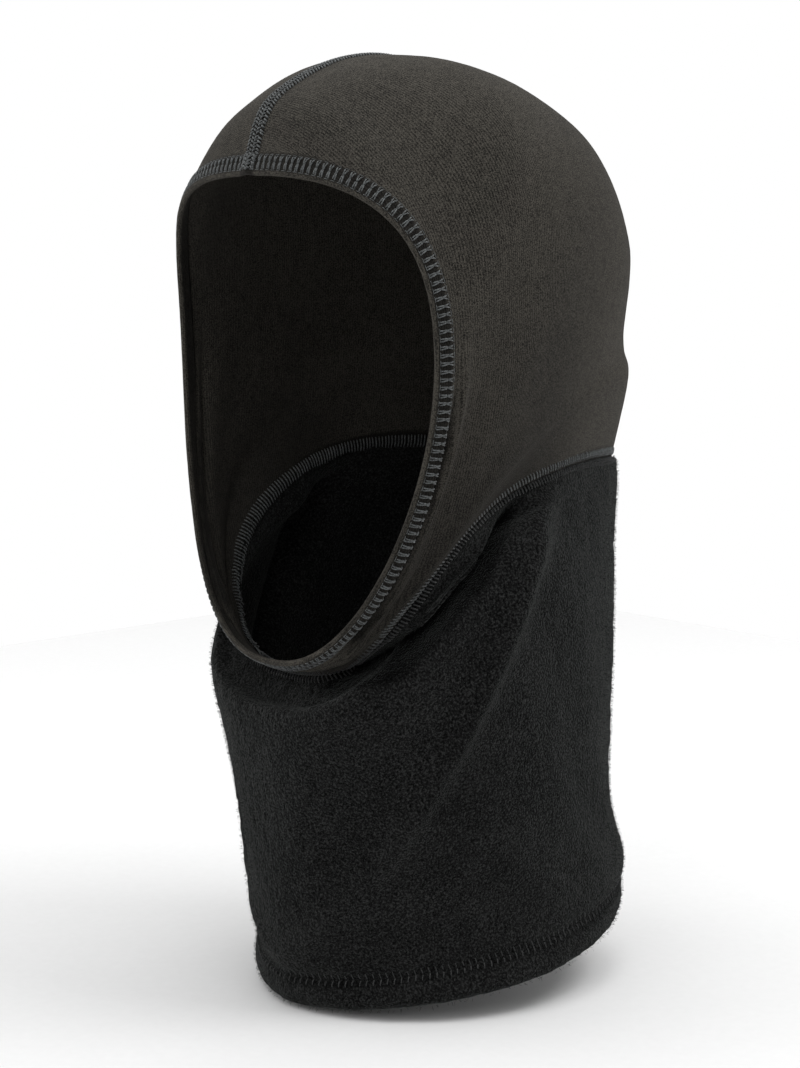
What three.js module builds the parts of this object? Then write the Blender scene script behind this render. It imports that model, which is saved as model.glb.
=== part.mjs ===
// Balaclava: a stretch-knit hood sewn to a fleece neck, shaped as it sits on a head.
// Millimetres, +Z up. The face looks toward -Y and the wearer's left is +X.
// The origin is the inside of the crown, where the top of the head carries the hood.
import * as THREE from "three";

// ---- cloth, thread and the gaps between pieces
const KNIT_THICKNESS = 2;
const FLEECE_THICKNESS = 3;
const THREAD_THICKNESS = 0.5;
const LABEL_THICKNESS = 0.5;
const SEAM_GAP = 0.3; // between the cut edges of two panels
const COVER_GAP = 0.8; // between a panel's outside and the thread on it
const LINING_GAP = 0.8; // between a panel's inside and what lies against it

// ---- seams and hems, measured along the cloth
const FACE_LIP = 2.7; // plain turned edge round the face, ahead of the stitches
const FACE_HEM_WIDTH = 8.5;
const FACE_THREAD_LINE = 0.8;
const CROWN_SEAM_WIDTH = 6.5;
const CHIN_SEAM_WIDTH = 4;
const NECK_SEAM_UPPER_WIDTH = 2.6;
const NECK_SEAM_LOWER_WIDTH = 2.6;
const NECK_SEAM_MARGIN = 2; // from the joint of knit and fleece to each row
const BOTTOM_HEM_WIDTH = 17;
const BOTTOM_THREAD_WIDTH = 1.6;
const BOTTOM_THREAD_SPACING = 5.5;
const CENTRE_SEAM_WIDTH = 4;
const LABEL_WIDTH = 36;
const LABEL_LENGTH = 28;
const LABEL_STITCH_WIDTH = 1.2;
const LABEL_STITCH_MARGIN = 2; // from each end of the stitches to the label's side
const CHIN_SEAM_MARGIN = 1.5; // from the end of the chin seam's thread to the neck seam

// ---- the outside of the garment, as a row of hoops from the face over the head and down the neck
// front and back are where a hoop crosses the centre plane, as [y, z], and half is its half width.
// round holds the superellipse powers of its front and back halves: 2 is an ellipse, more is squarer.
// lean moves the widest place toward the back, and bow lifts the sides off the straight line.
const HOOPS = [
  { front: [-62, -235], back: [-70, -46], half: 77, round: [2.2, 2.3], lean: 0.3, bow: -23 }, // face opening
  { back: [-54, -15], half: 79, round: [2.3, 1.9], lean: 0.2, bow: -22 }, // brow
  { back: [0, 2], half: 83, round: [2.3, 2.1], lean: 0.35, bow: -10 }, // crown
  { back: [74, -21], half: 84, round: [2.2, 2.1], lean: 0.25, bow: 18 }, // back of the crown
  { back: [112, -65], half: 80, round: [2.2, 2.2], lean: 0.1, bow: 33 }, // back of the head
  { back: [116, -109], half: 76, round: [2.2, 2.2], lean: -0.05, bow: 36 }, // crease above the nape
  { back: [120, -128], half: 73, round: [2.3, 2.3], lean: -0.05, bow: 40 }, // fold over the nape
  { front: [-49, -241], back: [113, -164], half: 66, round: [2.5, 2.4], lean: -0.15, bow: 41 }, // neck seam
  { front: [-57, -251], back: [115, -171], half: 64, round: [2.7, 2.4], lean: -0.05, bow: 37 }, // tuck
  { front: [-64, -257], back: [110, -218], half: 70, round: [2.4, 2.3], lean: -0.05, bow: 39 }, // collar
  { front: [-61, -305], back: [103, -298], half: 72, round: [1.9, 2.1], lean: 0.05, bow: 12 }, // neck
  { front: [-57, -348], back: [110, -334], half: 71, round: [1.8, 2.1], lean: 0.1, bow: 8 }, // flare
  { front: [-51, -375], back: [104, -347], half: 75, round: [1.8, 2.1], lean: 0.05, bow: 0 }, // bottom edge
];
const FACE = 0;
const NECK_SEAM = 7;
const BOTTOM = HOOPS.length - 1;
const FRONT = 0; // angle round a hoop, from the front over the wearer's left to the back
const BACK = Math.PI;

// ---- fineness
const HOOD_STEPS = 20; // from the face hem to the neck seam
const NECK_STEPS = 11; // from the neck seam to the bottom edge
const HALF_HOOP_STEPS = 20; // from the front to the back
const CENTRE_STRIP_STEPS = 2; // across a strip of thread
const LABEL_STEPS = 4; // across the label
const SLOPE_STEP = 0.04; // stations or radians, for the slope of the cloth
const MEASURE_STEP = 0.02; // stations, for lengths along the cloth

// Each hoop as one row of numbers. Between the face and the neck seam, the front points lie evenly
// along the short chin seam.
const hoopRows = HOOPS.map((hoop, index) => {
  const share = index / NECK_SEAM;
  const start = HOOPS[FACE].front;
  const end = HOOPS[NECK_SEAM].front;
  const chin = start.map((value, axis) => THREE.MathUtils.lerp(value, end[axis], share));
  return [...(hoop.front ?? chin), ...hoop.back, hoop.half, ...hoop.round, hoop.lean, hoop.bow];
});

// The row of numbers at any place between hoops, by a Catmull-Rom curve through them. The curve has a
// corner at the neck seam, where knit meets fleece.
function hoopAt(station) {
  const index = THREE.MathUtils.clamp(Math.floor(station), 0, BOTTOM - 1);
  const t = station - index;
  const startsCurve = index === FACE || index === NECK_SEAM;
  const endsCurve = index + 1 === NECK_SEAM || index + 1 === BOTTOM;
  return hoopRows[index].map((p1, column) => {
    const p2 = hoopRows[index + 1][column];
    const p0 = startsCurve ? 2 * p1 - p2 : hoopRows[index - 1][column];
    const p3 = endsCurve ? 2 * p2 - p1 : hoopRows[index + 2][column];
    const slope1 = (p2 - p0) / 2;
    const slope2 = (p3 - p1) / 2;
    const bend = 2 * (p1 - p2) + slope1 + slope2;
    return p1 + t * (slope1 + t * (3 * (p2 - p1) - 2 * slope1 - slope2 + t * bend));
  });
}

// A point on the outside of the garment.
function outsidePoint(station, angle) {
  const [frontY, frontZ, backY, backZ, half, frontRound, backRound, lean, bow] = hoopAt(station);
  const across = Math.sin(angle);
  const along = -Math.cos(angle);
  const power = along < 0 ? frontRound : backRound;
  const reach = (Math.abs(across) ** power + Math.abs(along) ** power) ** (-1 / power);
  const k = reach * along;
  const middle = 1 - k * k;
  const share = (1 + k + lean * middle) / 2;
  const rise = (bow * middle) / Math.hypot(backY - frontY, backZ - frontZ);
  return new THREE.Vector3(
    half * reach * across,
    frontY + (backY - frontY) * share - rise * (backZ - frontZ),
    frontZ + (backZ - frontZ) * share + rise * (backY - frontY),
  );
}

// The outward direction there, square to the cloth.
function outwardAt(station, angle) {
  const ahead = outsidePoint(station + SLOPE_STEP, angle);
  const alongHoops = ahead.sub(outsidePoint(station - SLOPE_STEP, angle));
  const roundward = outsidePoint(station, angle + SLOPE_STEP);
  const roundHoop = roundward.sub(outsidePoint(station, angle - SLOPE_STEP));
  return alongHoops.cross(roundHoop).normalize();
}

// A point at a depth under the outside. A negative depth stands off it.
function clothPoint(station, angle, depth) {
  return outsidePoint(station, angle).addScaledVector(outwardAt(station, angle), -depth);
}

// The station that lies a distance along the cloth from another, at one angle.
function stationAlong(start, angle, distance) {
  const step = Math.sign(distance) * MEASURE_STEP;
  let station = start;
  let here = outsidePoint(station, angle);
  let left = Math.abs(distance);
  while (left > 0) {
    const next = outsidePoint(station + step, angle);
    const moved = next.distanceTo(here);
    if (moved >= left) return station + (step * left) / moved;
    left -= moved;
    station += step;
    here = next;
  }
  return station;
}

// Half the angle that a strip of one width spans, where it crosses the centre plane.
function halfAngleOf(width, station) {
  return Math.asin(width / 2 / hoopAt(station)[4]);
}

// Evenly spaced numbers, both ends included.
function spaced(from, to, steps) {
  return Array.from({ length: steps + 1 }, (_, i) => from + ((to - from) * i) / steps);
}

// A closed solid between two layers of points. place(i, j, layer) gives a point: layer 0 is the
// outside and layer 1 the inside. With round, the last column joins the first.
function layeredSolid(rows, columns, place, round = false) {
  const positions = [];
  const indices = [];
  const lastRow = rows - 1;
  const lastColumn = columns - 1;
  const spans = round ? columns : lastColumn;
  const at = (i, j, layer) => (layer * rows + i) * columns + (j % columns);
  for (let layer = 0; layer < 2; layer += 1) {
    for (let i = 0; i < rows; i += 1) {
      for (let j = 0; j < columns; j += 1) positions.push(...place(i, j, layer).toArray());
    }
  }
  const quad = (a, b, c, d) => indices.push(a, c, b, a, d, c);
  for (let i = 0; i < lastRow; i += 1) {
    for (let j = 0; j < spans; j += 1) {
      quad(at(i, j, 0), at(i, j + 1, 0), at(i + 1, j + 1, 0), at(i + 1, j, 0));
      quad(at(i, j, 1), at(i + 1, j, 1), at(i + 1, j + 1, 1), at(i, j + 1, 1));
    }
  }
  for (let j = 0; j < spans; j += 1) {
    quad(at(0, j, 0), at(0, j, 1), at(0, j + 1, 1), at(0, j + 1, 0));
    quad(at(lastRow, j, 0), at(lastRow, j + 1, 0), at(lastRow, j + 1, 1), at(lastRow, j, 1));
  }
  for (let i = 0; i < lastRow && !round; i += 1) {
    const below = i + 1;
    quad(at(i, 0, 0), at(below, 0, 0), at(below, 0, 1), at(i, 0, 1));
    quad(at(i, lastColumn, 0), at(i, lastColumn, 1), at(below, lastColumn, 1), at(below, lastColumn, 0));
  }
  const geometry = new THREE.BufferGeometry();
  geometry.setAttribute("position", new THREE.Float32BufferAttribute(positions, 3));
  geometry.setIndex(indices);
  geometry.computeVertexNormals();
  return geometry;
}

// One side's half of a band of cloth. stations(angle) lists its stations at an angle, and the cut
// edge on the centre plane keeps clear of the other half's.
function halfBand(side, stations, depth, thickness) {
  const angles = spaced(FRONT, BACK, HALF_HOOP_STEPS);
  const columns = angles.map((angle) => stations(angle).map((station) => [station, angle]));
  return layeredSolid(columns[0].length, columns.length, (i, j, layer) => {
    const column = side > 0 ? j : columns.length - 1 - j;
    const point = clothPoint(...columns[column][i], depth + layer * thickness);
    point.x = side * Math.max(point.x, SEAM_GAP / 2);
    return point;
  });
}

// A band that runs all the way round, with stations(angle) as above.
function ringBand(stations, depth, thickness) {
  const angles = spaced(-BACK, BACK, 2 * HALF_HOOP_STEPS).slice(0, -1);
  const columns = angles.map((angle) => stations(Math.abs(angle)).map((station) => [station, angle]));
  const place = (i, j, layer) => clothPoint(...columns[j][i], depth + layer * thickness);
  return layeredSolid(columns[0].length, columns.length, place, true);
}

// A strip along the centre plane, at the front or the back, as wide as width and cut at both ends.
function centreStrip(angle, stations, width, depth, thickness, steps = CENTRE_STRIP_STEPS) {
  return layeredSolid(stations.length, steps + 1, (i, j, layer) => {
    const half = halfAngleOf(width, stations[i]);
    return clothPoint(stations[i], angle + half * ((2 * j) / steps - 1), depth + layer * thickness);
  });
}

// ---- materials
const cloth = (color, roughness) => new THREE.MeshStandardMaterial({ color, roughness, metalness: 0 });
const knit = cloth(0x38352f, 0.95);
const fleece = cloth(0x1e2020, 1);
const hoodThread = cloth(0x5a6464, 0.7);
const neckThread = cloth(0x3a4040, 0.8);
const label = cloth(0x9a9a96, 0.9);

const balaclava = new THREE.Group();

function add(name, geometry, material) {
  const mesh = new THREE.Mesh(geometry, material);
  mesh.name = name;
  balaclava.add(mesh);
}

const SIDES = [["left", 1], ["right", -1]];
const onTop = -COVER_GAP - THREAD_THICKNESS; // depth of thread that lies on the outside
const underKnit = KNIT_THICKNESS + LINING_GAP;
const underFleece = FLEECE_THICKNESS + LINING_GAP;

// ---- hood: two panels that meet over the crown and under the chin, and their turned-in face edge
const faceHem = (angle) => spaced(0, FACE_HEM_WIDTH, 2).map((d) => stationAlong(FACE, angle, d));
function hoodStations(angle) {
  const hem = faceHem(angle);
  return [...hem, ...spaced(hem.at(-1), NECK_SEAM, HOOD_STEPS).slice(1)];
}
for (const [side, sign] of SIDES) {
  add(`hood_panel_${side}`, halfBand(sign, hoodStations, 0, KNIT_THICKNESS), knit);
  add(`face_hem_facing_${side}`, halfBand(sign, faceHem, underKnit, KNIT_THICKNESS), knit);
}

// ---- thread on the outside of the face hem: a covering zigzag between two lines of stitches
function faceThread(name, from, to) {
  const edges = (angle) => [from, to].map((distance) => stationAlong(FACE, angle, distance));
  add(name, ringBand(edges, onTop, THREAD_THICKNESS), hoodThread);
}
faceThread("face_thread_inner_line", FACE_LIP, FACE_LIP + FACE_THREAD_LINE);
faceThread(
  "face_thread_cover",
  FACE_LIP + FACE_THREAD_LINE + SEAM_GAP,
  FACE_HEM_WIDTH - FACE_THREAD_LINE - SEAM_GAP,
);
faceThread("face_thread_outer_line", FACE_HEM_WIDTH - FACE_THREAD_LINE, FACE_HEM_WIDTH);

// ---- crown seam: braided thread outside, and the loops that lock it inside
const crownFront = stationAlong(FACE, BACK, FACE_HEM_WIDTH + SEAM_GAP);
const crownBack = stationAlong(NECK_SEAM, BACK, -NECK_SEAM_MARGIN - NECK_SEAM_UPPER_WIDTH - SEAM_GAP);
const betweenEnds = hoodStations(BACK).filter((station) => station > crownFront && station < crownBack);
const crownStations = [crownFront, ...betweenEnds, crownBack];
for (const [name, depth] of [["crown_seam_thread", onTop], ["crown_seam_inner_thread", underKnit]]) {
  add(name, centreStrip(BACK, crownStations, CROWN_SEAM_WIDTH, depth, THREAD_THICKNESS), hoodThread);
}

// ---- chin seam: the short join of the two hood panels under the chin
const chinFront = stationAlong(FACE, FRONT, FACE_HEM_WIDTH + SEAM_GAP);
const chinBack = stationAlong(NECK_SEAM, FRONT, -CHIN_SEAM_MARGIN);
const chinStations = spaced(chinFront, chinBack, 2);
add(
  "chin_seam_thread",
  centreStrip(FRONT, chinStations, CHIN_SEAM_WIDTH, underKnit, THREAD_THICKNESS),
  hoodThread,
);

// ---- neck: two fleece panels that meet at the front and the nape, and their turned-up bottom edge
function neckStations(angle) {
  const top = stationAlong(NECK_SEAM, angle, SEAM_GAP);
  const underSeam = stationAlong(NECK_SEAM, angle, NECK_SEAM_MARGIN + NECK_SEAM_LOWER_WIDTH);
  return [top, ...spaced(underSeam, BOTTOM, NECK_STEPS)];
}
const turnUp = (angle) => spaced(-BOTTOM_HEM_WIDTH, 0, 2).map((d) => stationAlong(BOTTOM, angle, d));
for (const [side, sign] of SIDES) {
  add(`neck_panel_${side}`, halfBand(sign, neckStations, 0, FLEECE_THICKNESS), fleece);
  add(`bottom_hem_turn_up_${side}`, halfBand(sign, turnUp, underFleece, FLEECE_THICKNESS), fleece);
}

// ---- neck seam: two rows of thread outside, either side of where knit meets fleece, and one inside
function neckSeamThread(name, from, to, depth) {
  const edges = (angle) => [from, to].map((distance) => stationAlong(NECK_SEAM, angle, distance));
  add(name, ringBand(edges, depth, THREAD_THICKNESS), hoodThread);
}
const upperRow = [-NECK_SEAM_MARGIN - NECK_SEAM_UPPER_WIDTH, -NECK_SEAM_MARGIN];
const lowerRow = [NECK_SEAM_MARGIN, NECK_SEAM_MARGIN + NECK_SEAM_LOWER_WIDTH];
neckSeamThread("neck_seam_thread_upper", ...upperRow, onTop);
neckSeamThread("neck_seam_thread_lower", ...lowerRow, onTop);
neckSeamThread("neck_seam_inner_thread", ...lowerRow, underFleece);

// ---- centre seams of the neck, sewn on the inside
for (const [place, angle] of [["front", FRONT], ["back", BACK]]) {
  const top = stationAlong(NECK_SEAM, angle, lowerRow[1] + NECK_SEAM_MARGIN);
  const end = stationAlong(BOTTOM, angle, -BOTTOM_HEM_WIDTH - LINING_GAP);
  const stations = spaced(top, end, NECK_STEPS);
  const strip = centreStrip(angle, stations, CENTRE_SEAM_WIDTH, underFleece, THREAD_THICKNESS);
  add(`neck_${place}_seam_thread`, strip, neckThread);
}

// ---- bottom hem: two rows of thread that hold the turn-up
for (const [row, offset] of [["upper", 0], ["lower", BOTTOM_THREAD_SPACING]]) {
  const start = -BOTTOM_HEM_WIDTH + offset;
  const edges = (angle) => [start, start + BOTTOM_THREAD_WIDTH].map((d) => stationAlong(BOTTOM, angle, d));
  add(`bottom_hem_thread_${row}`, ringBand(edges, onTop, THREAD_THICKNESS), neckThread);
}

// ---- blank care label inside the nape, hung from its own line of stitches
const labelDepth = underFleece + THREAD_THICKNESS + LINING_GAP;
function labelStrip(from, to, steps, width, depth, thickness) {
  const distances = spaced(lowerRow[1] + from, lowerRow[1] + to, steps);
  const stations = distances.map((distance) => stationAlong(NECK_SEAM, BACK, distance));
  return centreStrip(BACK, stations, width, depth, thickness, LABEL_STEPS);
}
add("care_label", labelStrip(0, LABEL_LENGTH, 2, LABEL_WIDTH, labelDepth, LABEL_THICKNESS), label);
const stitchWidth = LABEL_WIDTH - 2 * LABEL_STITCH_MARGIN;
const stitchDepth = labelDepth + LABEL_THICKNESS + SEAM_GAP;
const stitchEnds = [LABEL_STITCH_WIDTH, 2 * LABEL_STITCH_WIDTH];
const labelStitch = labelStrip(...stitchEnds, 1, stitchWidth, stitchDepth, THREAD_THICKNESS);
add("care_label_stitch", labelStitch, neckThread);

export default balaclava;
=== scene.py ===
"""Balaclava: a knit hood and a fleece neck with real stitches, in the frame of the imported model."""

import math

import bpy
import numpy as np
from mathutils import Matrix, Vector


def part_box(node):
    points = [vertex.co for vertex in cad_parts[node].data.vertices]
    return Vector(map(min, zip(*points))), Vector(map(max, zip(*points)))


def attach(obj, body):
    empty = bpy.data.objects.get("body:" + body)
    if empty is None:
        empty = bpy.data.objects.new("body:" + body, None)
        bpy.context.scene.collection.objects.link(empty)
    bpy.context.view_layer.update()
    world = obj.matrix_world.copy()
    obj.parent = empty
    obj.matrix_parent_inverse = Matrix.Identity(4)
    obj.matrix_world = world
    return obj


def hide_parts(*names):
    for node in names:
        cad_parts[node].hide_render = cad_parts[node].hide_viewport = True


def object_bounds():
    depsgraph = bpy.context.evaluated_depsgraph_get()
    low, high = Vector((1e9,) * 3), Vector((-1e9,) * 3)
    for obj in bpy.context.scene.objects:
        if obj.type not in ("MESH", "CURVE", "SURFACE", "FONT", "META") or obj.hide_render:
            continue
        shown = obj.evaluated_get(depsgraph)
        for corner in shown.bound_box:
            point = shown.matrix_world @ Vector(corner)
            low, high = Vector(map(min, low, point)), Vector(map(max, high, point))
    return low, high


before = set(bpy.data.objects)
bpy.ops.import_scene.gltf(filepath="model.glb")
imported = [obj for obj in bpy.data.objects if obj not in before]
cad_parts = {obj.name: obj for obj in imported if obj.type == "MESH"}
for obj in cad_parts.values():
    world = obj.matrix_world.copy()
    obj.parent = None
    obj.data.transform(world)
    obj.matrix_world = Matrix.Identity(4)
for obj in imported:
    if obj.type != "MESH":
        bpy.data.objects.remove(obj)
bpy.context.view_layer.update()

# ---- cloth and thread, in millimetres
KNIT = 1.0
FLEECE = 2.4
FOLD_GAP = 0.3  # between a cloth and its own turned-in edge
FACE_HEM = 8.0
BOTTOM_HEM = 17.0
FACE_LIP = 1.9
HEM_STITCH = 13.6  # middle of the bottom hem's stitches above the edge
HEAVY_THREAD = 0.28  # radii of the threads
FINE_THREAD = 0.13
CROWN_THREAD = 0.35
NECK_THREAD = 0.3
HEM_THREAD = 0.22
THREAD_SIDES = 6
STITCH_POINTS = 7
LABEL_THICKNESS = 0.3

# ---- how deep the folds lie, in millimetres
POCKET_DEPTH = 16.0
JAW_DEPTH = 3.5
RIDGE_HEIGHT = 8.5
RIDGE_WIDTH = 7.5
CREASE_DEPTH = 2.2
HEM_BAND = 0.5  # how far the face hem stands out
OTHER_SIDE = 0.15  # share of the jaw pocket on the wearer's right

# ---- how much of its colour each cloth keeps where its painted shade is full
KNIT_KEEPS_IN_PAINTED_SHADE = 0.24
FLEECE_KEEPS_IN_PAINTED_SHADE = 0.04
THREAD_KEEPS_IN_PAINTED_SHADE = 0.15

# ---- the outside of the garment, as a row of hoops from the face over the head and down the neck:
# front y and z, back y and z, half width, front and back roundness, lean and bow, in millimetres.
# Between the face and the neck seam, the front points lie evenly along the short chin seam.
HOOPS = [
    (-62, -235, -70, -46, 77, 2.2, 2.3, 0.3, -23),  # face opening
    (None, None, -54, -15, 79, 2.3, 1.9, 0.2, -22),  # brow
    (None, None, 0, 2, 83, 2.3, 2.1, 0.35, -10),  # crown
    (None, None, 74, -21, 84, 2.2, 2.1, 0.25, 18),  # back of the crown
    (None, None, 112, -65, 80, 2.2, 2.2, 0.1, 33),  # back of the head
    (None, None, 116, -109, 76, 2.2, 2.2, -0.05, 36),  # crease above the nape
    (None, None, 120, -128, 73, 2.3, 2.3, -0.05, 40),  # fold over the nape
    (-49, -241, 113, -164, 66, 2.5, 2.4, -0.15, 41),  # neck seam
    (-57, -251, 115, -171, 64, 2.7, 2.4, -0.05, 37),  # tuck
    (-64, -257, 110, -218, 70, 2.4, 2.3, -0.05, 39),  # collar
    (-61, -305, 103, -298, 72, 1.9, 2.1, 0.05, 12),  # neck
    (-57, -348, 110, -334, 71, 1.8, 2.1, 0.1, 8),  # flare
    (-51, -375, 104, -347, 75, 1.8, 2.1, 0.05, 0),  # bottom edge
]
FACE = 0
NECK_SEAM = 7
BOTTOM = len(HOOPS) - 1
HEAD_HALF = 83.0  # half width at the crown
FRONT = 0.0
BACK = math.pi
SLOPE = 0.03  # stations or radians, for the slope of the cloth


def filled_hoops():
    """The hoops as an array, with the front points along the chin seam filled in."""
    rows = [list(hoop) for hoop in HOOPS]
    for index, row in enumerate(rows[1:NECK_SEAM], start=1):
        share = index / NECK_SEAM
        for column in (0, 1):
            row[column] = rows[FACE][column] * (1 - share) + rows[NECK_SEAM][column] * share
    return np.array(rows, float)


HOOP_ROWS = filled_hoops()


def hoop_at(station):
    """Each hoop value at any place between hoops: a Catmull-Rom curve with a corner at the neck seam."""
    index = np.clip(np.floor(station), 0, BOTTOM - 1).astype(int)
    t = (station - index)[..., None]
    p1 = HOOP_ROWS[index]
    p2 = HOOP_ROWS[index + 1]
    starts = ((index == FACE) | (index == NECK_SEAM))[..., None]
    ends = ((index + 1 == NECK_SEAM) | (index + 1 == BOTTOM))[..., None]
    p0 = np.where(starts, 2 * p1 - p2, HOOP_ROWS[np.maximum(index - 1, 0)])
    p3 = np.where(ends, 2 * p2 - p1, HOOP_ROWS[np.minimum(index + 2, BOTTOM)])
    slope1 = (p2 - p0) / 2
    slope2 = (p3 - p1) / 2
    bend = 2 * (p1 - p2) + slope1 + slope2
    return p1 + t * (slope1 + t * (3 * (p2 - p1) - 2 * slope1 - slope2 + t * bend))


def hoop_surface(station, angle):
    """The plain outside, in millimetres. The angle runs from the front by the wearer's left to the back."""
    hoop = hoop_at(station)
    front_y, front_z, back_y, back_z, half, front_round, back_round, lean, bow = np.moveaxis(hoop, -1, 0)
    across = np.sin(angle)
    along = -np.cos(angle)
    power = np.where(along < 0, front_round, back_round)
    reach = (np.abs(across) ** power + np.abs(along) ** power) ** (-1 / power)
    k = reach * along
    middle = 1 - k * k
    share = (1 + k + lean * middle) / 2
    rise = bow * middle / np.hypot(back_y - front_y, back_z - front_z)
    y = front_y + (back_y - front_y) * share - rise * (back_z - front_z)
    z = front_z + (back_z - front_z) * share + rise * (back_y - front_y)
    return np.stack([half * reach * across, y, z], axis=-1)


def grid_of(stations, angles):
    """Stations down the rows and angles along the columns."""
    return np.meshgrid(np.asarray(stations, float), np.asarray(angles, float), indexing="ij")


def hoop_normals(station, angle):
    """Outward directions of the plain outside."""
    along_hoops = hoop_surface(station + SLOPE, angle) - hoop_surface(station - SLOPE, angle)
    round_hoop = hoop_surface(station, angle + SLOPE) - hoop_surface(station, angle - SLOPE)
    normal = np.cross(along_hoops, round_hoop)
    return normal / np.maximum(np.linalg.norm(normal, axis=-1, keepdims=True), 1e-9)


def column_of(angle, columns):
    """Which of a grid's columns an angle lies on."""
    return (np.asarray(angle) + math.pi) / (2 * math.pi) * columns


def travelled_along(line):
    """How far each of a row of points lies from the first, along the row."""
    return np.concatenate([[0], np.cumsum(np.linalg.norm(np.diff(line, axis=0), axis=1))])


def spline_sample(grid, row, column):
    """A grid's values at fractional rows and columns, by cubic B-splines. The columns run round."""
    rows, columns = grid.shape[:2]
    row = np.clip(row, 0, rows - 1)
    r0 = np.floor(row).astype(int)
    c0 = np.floor(column).astype(int)

    def weights(t):
        before = (3 * t**3 - 6 * t**2 + 4) / 6
        after = (-3 * t**3 + 3 * t**2 + 3 * t + 1) / 6
        return ((1 - t) ** 3 / 6, before, after, t**3 / 6)

    total = 0
    for i, wr in enumerate(weights(row - r0)):
        for j, wc in enumerate(weights(column - c0)):
            cell = grid[np.clip(r0 + i - 1, 0, rows - 1), (c0 + j - 1) % columns]
            total = total + (wr * wc)[..., None] * cell
    return total


# ---- the fleece neck settles as cloth, held at the neck seam, with some fullness
SIM_ROWS = 56
SIM_COLUMNS = 150
SIM_FRAMES = 45
SIM_FULLNESS = 0.02
DRIFT_SMOOTHING = 10


def settle_neck():
    """How far cloth simulation moves the fleece, on a grid of rows and columns, in millimetres."""
    stations = np.linspace(NECK_SEAM, BOTTOM, SIM_ROWS)
    angles = np.linspace(-math.pi, math.pi, SIM_COLUMNS, endpoint=False)
    station, angle = grid_of(stations, angles)
    rest = hoop_surface(station, angle)
    faces = []
    for i in range(SIM_ROWS - 1):
        for j in range(SIM_COLUMNS):
            k = (j + 1) % SIM_COLUMNS
            upper = i * SIM_COLUMNS
            lower = upper + SIM_COLUMNS
            faces.append((upper + j, upper + k, lower + k, lower + j))
    mesh = bpy.data.meshes.new("settling_neck")
    mesh.from_pydata((rest.reshape(-1, 3) * 0.001).tolist(), [], faces)
    cloth = bpy.data.objects.new("settling_neck", mesh)
    bpy.context.scene.collection.objects.link(cloth)
    group = cloth.vertex_groups.new(name="held")
    down = np.linspace(0, 1, SIM_ROWS)
    held = np.where(down < 0.06, 1.0, 0.16 + 0.5 * np.exp(-(down - 0.06) / 0.05))
    for i in range(SIM_ROWS):
        group.add(list(range(i * SIM_COLUMNS, (i + 1) * SIM_COLUMNS)), float(held[i]), "REPLACE")
    modifier = cloth.modifiers.new("Cloth", "CLOTH")
    settings = modifier.settings
    settings.quality = 6
    settings.mass = 0.0006
    settings.tension_stiffness = 8
    settings.compression_stiffness = 8
    settings.shear_stiffness = 3
    settings.bending_stiffness = 4
    settings.air_damping = 2
    settings.vertex_group_mass = "held"
    settings.pin_stiffness = 0.35
    settings.shrink_min = -SIM_FULLNESS
    modifier.collision_settings.use_collision = False
    modifier.collision_settings.use_self_collision = False
    modifier.point_cache.frame_start = 1
    modifier.point_cache.frame_end = SIM_FRAMES
    scene = bpy.context.scene
    for index in range(1, SIM_FRAMES + 1):
        scene.frame_set(index)
    evaluated = cloth.evaluated_get(bpy.context.evaluated_depsgraph_get())
    settled = np.zeros(rest.size, np.float32)
    evaluated.data.vertices.foreach_get("co", settled)
    scene.frame_set(1)
    bpy.data.objects.remove(cloth)
    bpy.data.meshes.remove(mesh)
    drift = settled.reshape(rest.shape).astype(float) * 1000 - rest
    for _ in range(DRIFT_SMOOTHING):
        drift = (np.roll(drift, 1, axis=1) + 2 * drift + np.roll(drift, -1, axis=1)) / 4
        padded = np.concatenate([drift[:1], drift, drift[-1:]])
        drift = (padded[:-2] + 2 * padded[1:-1] + padded[2:]) / 4
    return drift


NECK_DRIFT = settle_neck()

# ---- distances along the cloth, and the folds that follow from them
TABLE_STEPS = 600
TABLE_COLUMNS = 360


def distance_table():
    """How far each station lies along the cloth from the face edge, the neck seam and the bottom edge."""
    stations = np.linspace(FACE, BOTTOM, TABLE_STEPS + 1)
    angles = np.linspace(-math.pi, math.pi, TABLE_COLUMNS, endpoint=False)
    station, angle = grid_of(stations, angles)
    points = hoop_surface(station, angle)
    steps = np.linalg.norm(np.diff(points, axis=0), axis=2)
    travelled = np.concatenate([np.zeros((1, len(angles))), np.cumsum(steps, axis=0)])
    seam_row = int(round(NECK_SEAM / BOTTOM * TABLE_STEPS))
    return travelled, travelled - travelled[seam_row], travelled[-1] - travelled


FROM_FACE, FROM_SEAM, FROM_BOTTOM = distance_table()


def looked_up(table, station, angle):
    """A distance table's value at any station and angle."""
    row = np.asarray(station) / BOTTOM * (len(table) - 1)
    return spline_sample(table[..., None], row, column_of(angle, table.shape[1]))[..., 0]


def hill(value, middle, width):
    """A smooth bump of height 1."""
    return np.exp(-(((value - middle) / width) ** 2))


def ramp_between(value, low, high):
    """0 below low, 1 above high and a smooth rise between."""
    t = np.clip((value - low) / (high - low), 0, 1)
    return t * t * (3 - 2 * t)


def tuck_share(station, angle):
    """1 in the pocket under the jaw, where the fleece folds in behind its own top edge."""
    below = looked_up(FROM_SEAM, station, angle)
    turn = np.degrees(np.abs(angle))
    middle = 19 * ramp_between(turn, 22, 62) - 14 * ramp_between(turn, 76, 98)
    width = 9.5 - 4.5 * ramp_between(turn, 46, 64)
    width = np.where(below < middle, np.minimum(0.6 * width, 0.6 * middle + 0.6), width)
    jaw = ramp_between(turn, 12, 34) * (1 - ramp_between(turn, 70, 100))
    return hill(below, middle, width) * jaw * np.where(np.asarray(angle) > 0, 1.0, OTHER_SIDE)


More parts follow.
